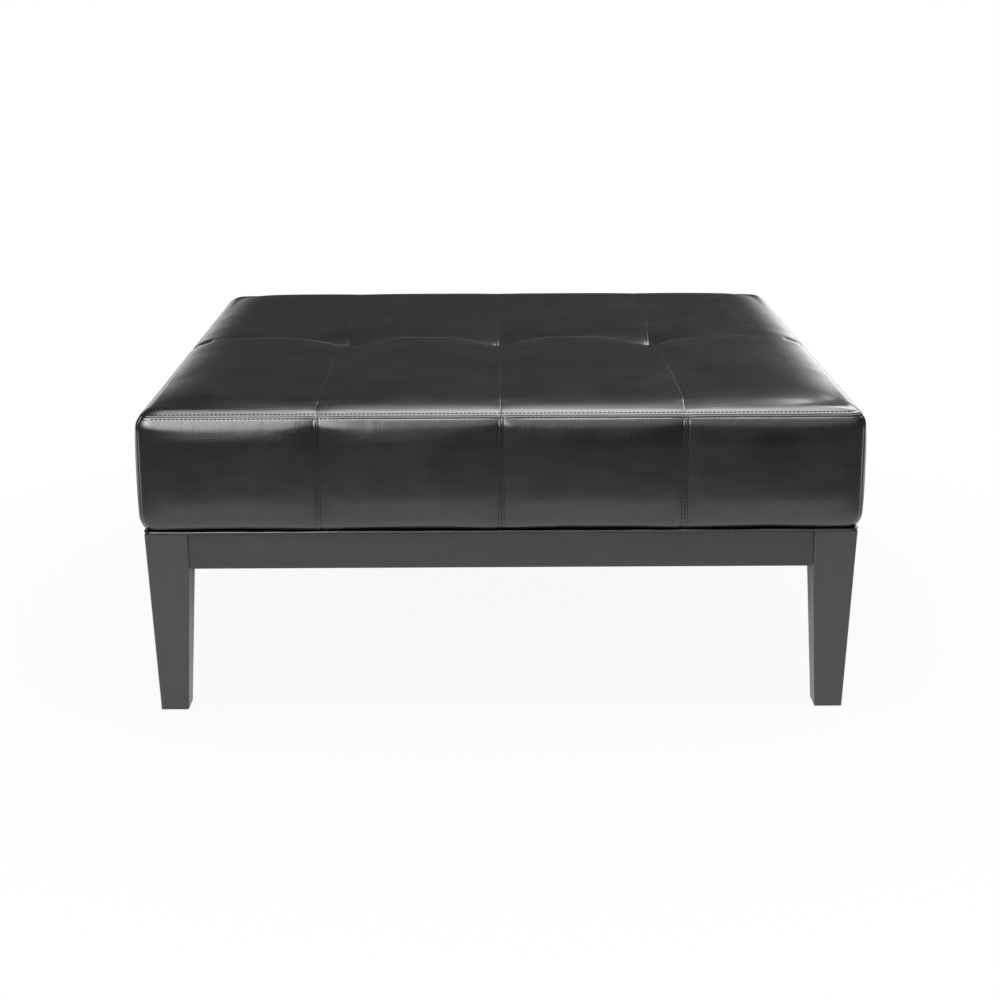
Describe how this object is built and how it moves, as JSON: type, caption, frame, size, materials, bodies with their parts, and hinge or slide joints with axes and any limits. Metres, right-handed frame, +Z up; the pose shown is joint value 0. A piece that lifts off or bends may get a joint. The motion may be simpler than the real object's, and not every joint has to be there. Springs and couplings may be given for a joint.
{
  "type": "ottoman coffee table",
  "caption": "Square padded leather ottoman coffee table with sewn panels and blind tufts on a wooden base with tapered legs.",
  "frame": {"origin": "on the floor, under the middle of the table", "axes": "+Z up; -Y is the front, the long side with four panels that faces the viewer; +X is the viewer's right"},
  "size_m": [0.914, 0.914, 0.406],
  "materials": {
    "black_leather": "glossy coated leather, fine grain",
    "hem_leather": "glossy coated leather, folded edge",
    "stained_wood": "black stain under satin lacquer",
    "pine": "sawn, unfinished",
    "plywood": "sanded, unfinished",
    "foam": "open-cell foam",
    "dust_cloth": "thin non-woven cloth",
    "twine": "waxed twine",
    "zinc_steel": "zinc plated",
    "glide_plastic": "moulded",
    "dowel_wood": "plain beech"
  },
  "bodies": {
    "root": {"apron_back": "stained_wood", "apron_dowels": "dowel_wood", "apron_front": "stained_wood", "apron_left": "stained_wood", "apron_right": "stained_wood", "base_to_box_screws": "zinc_steel", "box_rail_back": "pine", "box_rail_front": "pine", "box_rail_left": "pine", "box_rail_right": "pine", "box_rail_screws": "zinc_steel", "corner_block_back_left": "pine", "corner_block_back_right": "pine", "corner_block_front_left": "pine", "corner_block_front_right": "pine", "corner_block_screws": "zinc_steel", "corner_cleats": "pine", "cover_back_panel1": "black_leather", "cover_back_panel2": "black_leather", "cover_back_panel3": "black_leather", "cover_back_panel4": "black_leather", "cover_front_panel1": "black_leather", "cover_front_panel2": "black_leather", "cover_front_panel3": "black_leather", "cover_front_panel4": "black_leather", "cover_hem": "hem_leather", "cover_left_panel1": "black_leather", "cover_left_panel2": "black_leather", "cover_right_panel1": "black_leather", "cover_right_panel2": "black_leather", "cover_staples": "zinc_steel", "cover_top_row1_panel1": "black_leather", "cover_top_row1_panel2": "black_leather", "cover_top_row1_panel3": "black_leather", "cover_top_row1_panel4": "black_leather", "cover_top_row2_panel1": "black_leather", "cover_top_row2_panel2": "black_leather", "cover_top_row2_panel3": "black_leather", "cover_top_row2_panel4": "black_leather", "cross_rail_left": "pine", "cross_rail_right": "pine", "deck_board": "plywood", "dust_cover": "dust_cloth", "foam_core": "foam", "foam_topper": "foam", "foot_glides": "glide_plastic", "hanger_bolts": "zinc_steel", "hanger_nuts": "zinc_steel", "hanger_washers": "zinc_steel", "leg_back_left": "stained_wood", "leg_back_right": "stained_wood", "leg_front_left": "stained_wood", "leg_front_right": "stained_wood", "side_pad_back": "foam", "side_pad_front": "foam", "side_pad_left": "foam", "side_pad_right": "foam", "tuft_twines": "twine", "tuft_washers": "zinc_steel"}
  },
  "joints": []
}
